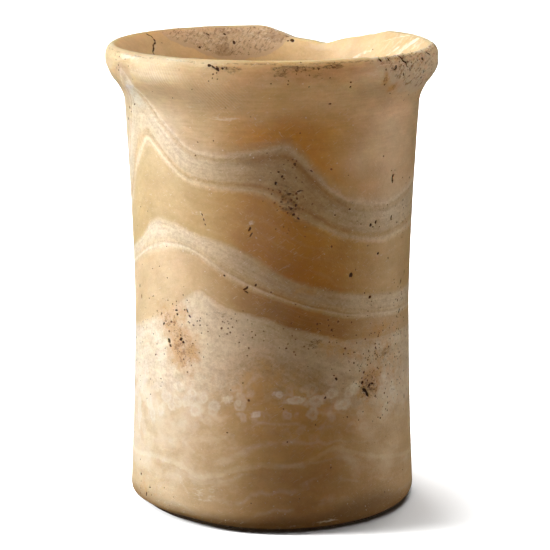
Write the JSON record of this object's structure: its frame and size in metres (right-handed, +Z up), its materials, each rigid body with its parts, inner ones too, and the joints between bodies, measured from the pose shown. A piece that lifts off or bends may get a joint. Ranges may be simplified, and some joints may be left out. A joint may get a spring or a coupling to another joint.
{
  "type": "cylindrical alabaster jar",
  "caption": "Tall hollow stone jar with a slightly waisted cylindrical body, rounded foot and thick flaring lip with a worn break at the back.",
  "frame": {"origin": "centre of the flat underside, where the jar stands", "axes": "+Z up along the jar's axis, -Y towards the front, the break in the lip towards +Y"},
  "size_m": [0.1068, 0.1068, 0.15],
  "materials": {
    "travertine": "old polish, worn to satin, with banded layers, pits and dirt"
  },
  "bodies": {
    "root": {"alabaster_jar": "travertine"}
  },
  "joints": []
}
